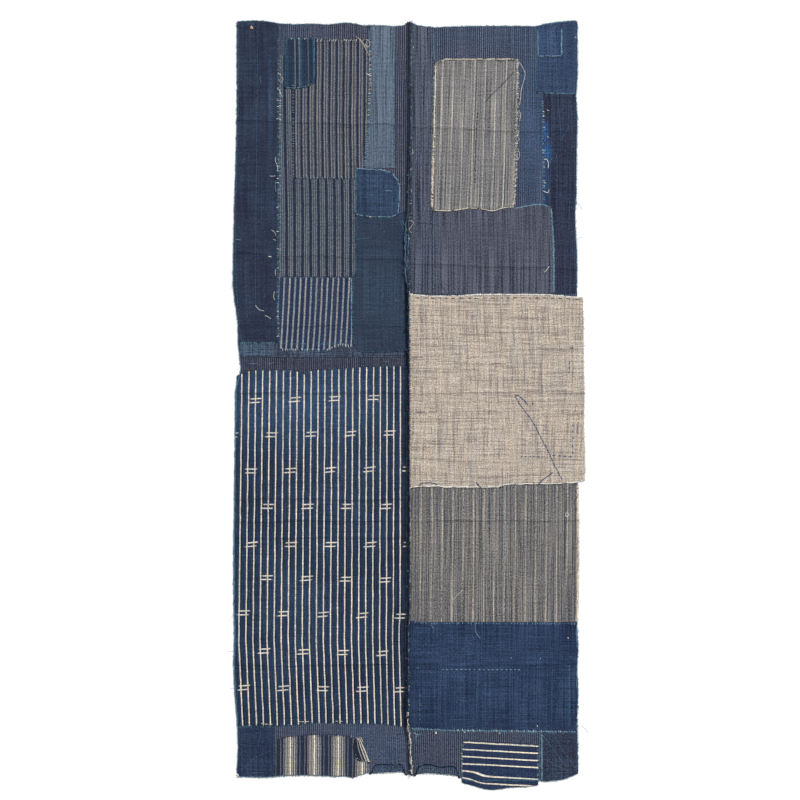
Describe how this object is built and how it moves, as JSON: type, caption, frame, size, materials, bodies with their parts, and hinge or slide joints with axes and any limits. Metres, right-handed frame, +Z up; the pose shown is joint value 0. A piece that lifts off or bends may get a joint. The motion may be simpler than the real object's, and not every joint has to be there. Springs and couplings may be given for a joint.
{
  "type": "boro patched cloth",
  "caption": "Flat boro cloth of narrow striped indigo panels joined by a standing seam and covered with sewn-on plain, striped, kasuri and linen patches, with raw edges and soft folds.",
  "frame": {"origin": "on the surface that the cloth lies on, below the middle of its box", "axes": "+Z up out of the patched side, +Y along the cloth to its top end, +X to the right seen from above"},
  "size_m": [0.7039, 1.5388, 0.0116],
  "materials": {
    "panel_stripe": "matt hand-woven cotton, fine brown and grey-blue stripes",
    "dark_indigo": "matt cotton, deep indigo, slightly faded",
    "navy_beige_stripe": "matt cotton, navy, beige and grey stripes",
    "cream_navy_stripe": "matt cotton, cream lines on navy",
    "pale_blue": "matt cotton, pale washed indigo",
    "faded_indigo": "matt cotton, mottled mid indigo",
    "grey_brown_stripe": "matt cotton, fine grey-brown stripes",
    "grey_beige_stripe": "matt cotton, grey and beige stripes",
    "kasuri": "matt cotton, cream stripes and kasuri dashes on navy",
    "beige_linen": "coarse linen-like bast cloth with grey slubs"
  },
  "bodies": {
    "root": {"left_panel": "panel_stripe", "right_panel": "panel_stripe", "left_edge_strip": "dark_indigo", "right_edge_strip": "dark_indigo", "left_corner_patch": "dark_indigo", "right_corner_patch": "dark_indigo", "small_lined_patch": "dark_indigo", "long_striped_patch": "navy_beige_stripe", "upper_striped_patch": "navy_beige_stripe", "lower_striped_patch": "navy_beige_stripe", "bold_striped_patch": "cream_navy_stripe", "cream_lined_patch": "cream_navy_stripe", "pale_strip": "pale_blue", "teal_patch": "faded_indigo", "blue_patch": "faded_indigo", "indigo_patch": "faded_indigo", "top_corner_patch": "faded_indigo", "small_corner_patch": "faded_indigo", "narrow_band": "grey_brown_stripe", "brown_strip": "grey_brown_stripe", "brown_patch": "grey_brown_stripe", "grey_striped_patch": "grey_beige_stripe", "wide_striped_patch": "grey_beige_stripe", "kasuri_patch": "kasuri", "linen_patch": "beige_linen"}
  },
  "joints": []
}
